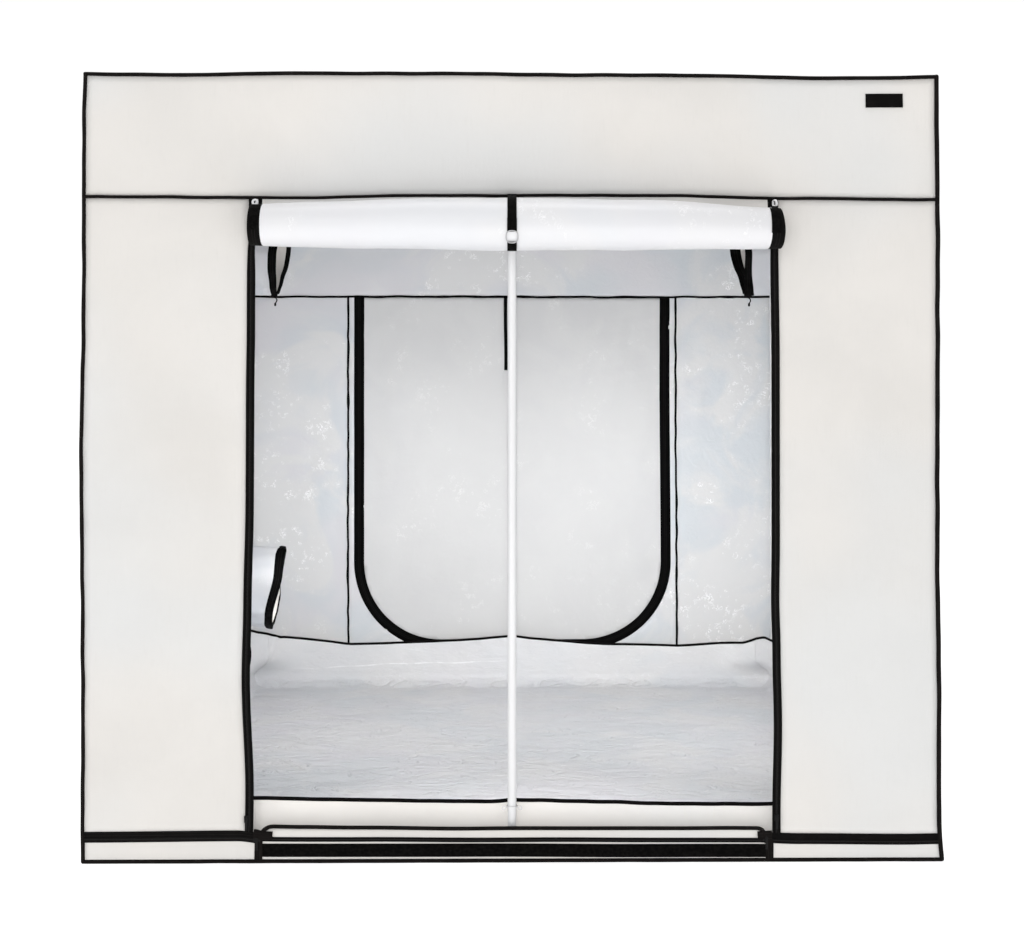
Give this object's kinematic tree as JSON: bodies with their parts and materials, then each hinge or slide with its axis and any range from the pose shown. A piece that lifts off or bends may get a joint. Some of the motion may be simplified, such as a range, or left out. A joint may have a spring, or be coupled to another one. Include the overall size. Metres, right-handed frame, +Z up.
{
  "type": "indoor grow tent",
  "caption": "Square indoor grow tent: tube frame in a cream canopy with its front door rolled up and strapped, a zipped rear door, duct sleeves and a pan-shaped floor tray.",
  "frame": {"origin": "on the ground, at the middle of the canopy's square footprint", "axes": "+X to the right seen from the front, +Y from the front wall to the rear wall, +Z up"},
  "size_m": [2.4, 2.5652, 2.2],
  "materials": {
    "white_powder_coat": "smooth white powder coat",
    "white_fitting": "moulded, satin",
    "cream_canvas": "woven coated cloth, cream outside and white inside",
    "white_lining": "smooth white coated lining",
    "pale_tray_cloth": "smooth pale grey-white waterproof cloth",
    "black_tape": "woven black binding and zip tape",
    "black_webbing": "woven black webbing",
    "black_zip_slider": "black enamel",
    "bright_metal": "polished plating"
  },
  "bodies": {
    "tent": {"corner_post_front_left": "white_powder_coat", "corner_post_front_right": "white_powder_coat", "corner_post_rear_left": "white_powder_coat", "corner_post_rear_right": "white_powder_coat", "centre_post_front": "white_powder_coat", "centre_post_rear": "white_powder_coat", "bottom_rail_front": "white_powder_coat", "bottom_rail_rear": "white_powder_coat", "bottom_rail_left": "white_powder_coat", "bottom_rail_right": "white_powder_coat", "top_rail_front": "white_powder_coat", "top_rail_rear": "white_powder_coat", "top_rail_left": "white_powder_coat", "top_rail_right": "white_powder_coat", "corner_joint_bottom_front_left": "white_fitting", "corner_joint_bottom_front_right": "white_fitting", "corner_joint_bottom_rear_left": "white_fitting", "corner_joint_bottom_rear_right": "white_fitting", "corner_joint_top_front_left": "white_fitting", "corner_joint_top_front_right": "white_fitting", "corner_joint_top_rear_left": "white_fitting", "corner_joint_top_rear_right": "white_fitting", "tee_joint_bottom_front": "white_fitting", "tee_joint_bottom_rear": "white_fitting", "tee_joint_top_front": "white_fitting", "tee_joint_top_rear": "white_fitting", "floor_panel": "cream_canvas", "roof_panel": "cream_canvas", "left_wall": "cream_canvas", "right_wall": "cream_canvas", "rear_wall": "cream_canvas", "front_header": "cream_canvas", "front_panel_left": "cream_canvas", "front_panel_right": "cream_canvas", "front_base_band": "cream_canvas", "rear_door_zip": "black_tape", "edge_piping": "black_tape", "jamb_zip_left": "black_tape", "jamb_zip_right": "black_tape", "lower_zip_left": "black_tape", "lower_zip_right": "black_tape", "duct_sleeve_lower_left": "white_lining", "duct_sleeve_upper_left": "white_lining", "duct_sleeve_upper_right": "white_lining", "floor_tray": "pale_tray_cloth", "door_curtain": "cream_canvas"},
    "door_roll": {"door_roll": "white_lining", "strap_tail_centre": "black_webbing"},
    "strap_centre": {"strap_centre": "black_webbing", "strap_ring_centre": "bright_metal"},
    "strap_left": {"strap_left": "black_webbing"},
    "strap_right": {"strap_right": "black_webbing"},
    "rear_door": {"rear_door_flap": "cream_canvas"},
    "rear_strap": {"rear_strap": "black_webbing"},
    "jamb_slider_left": {"jamb_slider_left": "black_zip_slider"},
    "jamb_slider_right": {"jamb_slider_right": "black_zip_slider"},
    "lower_slider_left": {"lower_slider_left": "black_zip_slider"},
    "lower_slider_right": {"lower_slider_right": "black_zip_slider"},
    "hanging_bar_front": {"hanging_bar_front": "white_powder_coat"},
    "hanging_bar_rear": {"hanging_bar_rear": "white_powder_coat"}
  },
  "joints": [
    {"name": "door_unroll", "type": "slide", "parent": "tent", "child": "door_roll", "axis": [0, 0, -1], "range_m": [0, 1.6], "deforming": ["door_curtain"]},
    {"name": "strap_centre_swing", "type": "hinge", "parent": "tent", "child": "strap_centre", "pos_m": [0, -1.2002, 1.8655], "axis": [-1, 0, 0], "range_deg": [0, 75]},
    {"name": "strap_left_swing", "type": "hinge", "parent": "tent", "child": "strap_left", "pos_m": [-0.697, -1.2002, 1.8655], "axis": [-1, 0, 0], "range_deg": [0, 75]},
    {"name": "strap_right_swing", "type": "hinge", "parent": "tent", "child": "strap_right", "pos_m": [0.717, -1.2002, 1.8655], "axis": [-1, 0, 0], "range_deg": [0, 75]},
    {"name": "rear_door_swing", "type": "hinge", "parent": "tent", "child": "rear_door", "pos_m": [0, 1.195, 1.7387], "axis": [1, 0, 0], "range_deg": [0, 95]},
    {"name": "rear_strap_swing", "type": "hinge", "parent": "tent", "child": "rear_strap", "pos_m": [-0.03, 1.1928, 1.7387], "axis": [-1, 0, 0], "range_deg": [0, 90]},
    {"name": "jamb_zip_left_run", "type": "slide", "parent": "tent", "child": "jamb_slider_left", "axis": [0, 0, 1], "range_m": [0, 1.7]},
    {"name": "jamb_zip_right_run", "type": "slide", "parent": "tent", "child": "jamb_slider_right", "axis": [0, 0, 1], "range_m": [0, 1.7]},
    {"name": "lower_zip_left_run", "type": "slide", "parent": "tent", "child": "lower_slider_left", "axis": [-1, 0, 0], "range_m": [0, 0.46]},
    {"name": "lower_zip_right_run", "type": "slide", "parent": "tent", "child": "lower_slider_right", "axis": [1, 0, 0], "range_m": [0, 0.46]},
    {"name": "hanging_bar_front_shift", "type": "slide", "parent": "tent", "child": "hanging_bar_front", "axis": [0, 1, 0], "range_m": [-0.3, 0.3]},
    {"name": "hanging_bar_rear_shift", "type": "slide", "parent": "tent", "child": "hanging_bar_rear", "axis": [0, 1, 0], "range_m": [-0.3, 0.3]}
  ]
}
